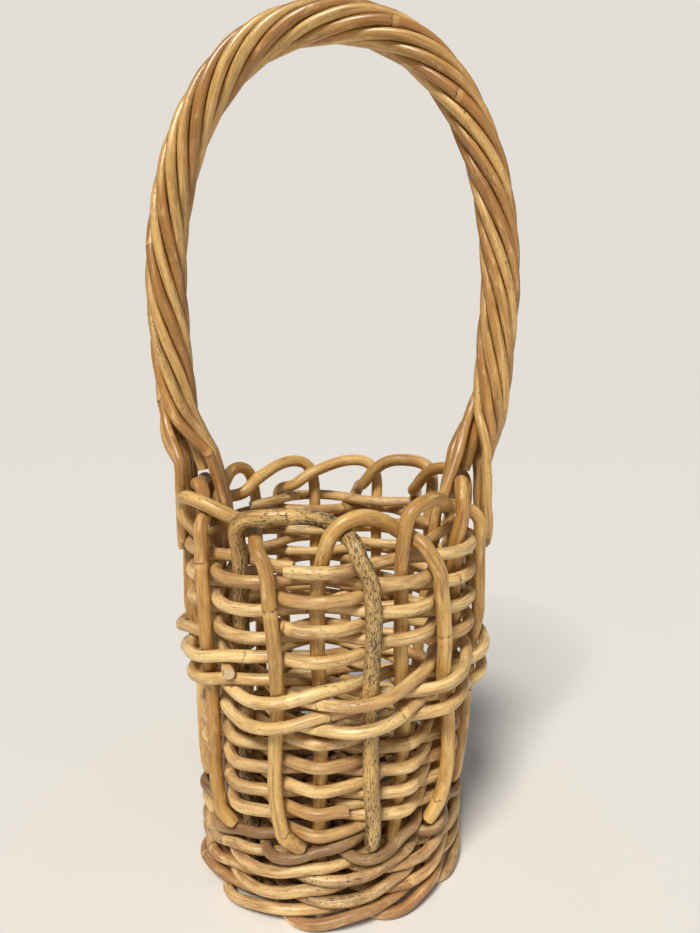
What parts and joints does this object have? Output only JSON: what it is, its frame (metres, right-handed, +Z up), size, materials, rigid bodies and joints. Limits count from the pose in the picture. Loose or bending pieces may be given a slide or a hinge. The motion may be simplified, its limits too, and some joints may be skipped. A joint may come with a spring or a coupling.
{
  "type": "wine bottle basket",
  "caption": "Tall round bottle basket woven from rattan rods, with an arched open rim, outer legs, a rod base and one roped loop handle.",
  "frame": {"origin": "on the ground under the axis of the woven wall", "axes": "+Z up along the wall's axis; the front faces -Y; the handle's feet stand at -X and +X"},
  "size_m": [0.1793, 0.158, 0.42],
  "materials": {
    "stake_rattan": "satin, orange-brown, some rods mottled dark",
    "side_weave_rattan": "satin, pale straw",
    "middle_wale_rattan": "satin, pale straw",
    "foot_rattan": "satin, straw to reddish brown",
    "dark_foot_rattan": "satin, dark brown",
    "handle_rattan": "lacquered satin, golden tan",
    "base_rattan": "satin, brown"
  },
  "bodies": {
    "root": {"stake_01": "stake_rattan", "stake_02": "stake_rattan", "stake_03": "stake_rattan", "stake_04": "stake_rattan", "stake_05": "stake_rattan", "stake_06": "stake_rattan", "stake_07": "stake_rattan", "stake_08": "stake_rattan", "stake_09": "stake_rattan", "stake_10": "stake_rattan", "stake_11": "stake_rattan", "lower_side_weaver_1": "side_weave_rattan", "lower_side_weaver_2": "side_weave_rattan", "lower_side_weaver_3": "side_weave_rattan", "lower_side_weaver_4": "side_weave_rattan", "upper_side_weaver_1": "side_weave_rattan", "upper_side_weaver_2": "side_weave_rattan", "upper_side_weaver_3": "side_weave_rattan", "upper_side_weaver_4": "side_weave_rattan", "middle_wale_rod_1": "middle_wale_rattan", "middle_wale_rod_2": "middle_wale_rattan", "middle_wale_rod_3": "middle_wale_rattan", "foot_wale_1_rod_1": "foot_rattan", "foot_wale_1_rod_2": "foot_rattan", "foot_wale_1_rod_3": "foot_rattan", "foot_wale_2_rod_1": "foot_rattan", "foot_wale_2_rod_2": "foot_rattan", "foot_wale_2_rod_3": "foot_rattan", "foot_wale_3_rod_1": "foot_rattan", "foot_wale_3_rod_2": "foot_rattan", "foot_wale_3_rod_3": "foot_rattan", "foot_pair_rod_1": "dark_foot_rattan", "foot_pair_rod_2": "dark_foot_rattan", "base_stick_1": "base_rattan", "base_stick_2": "base_rattan", "base_stick_3": "base_rattan", "base_stick_4": "base_rattan", "base_stick_5": "base_rattan", "base_half_stick_6": "base_rattan", "base_weaver": "base_rattan", "handle_rod_1": "handle_rattan", "handle_rod_2": "handle_rattan", "handle_rod_3": "handle_rattan", "handle_rod_4": "handle_rattan", "handle_rod_5": "handle_rattan", "handle_rod_6": "handle_rattan", "handle_rod_7": "handle_rattan", "handle_rod_8": "handle_rattan", "handle_core": "handle_rattan"}
  },
  "joints": []
}
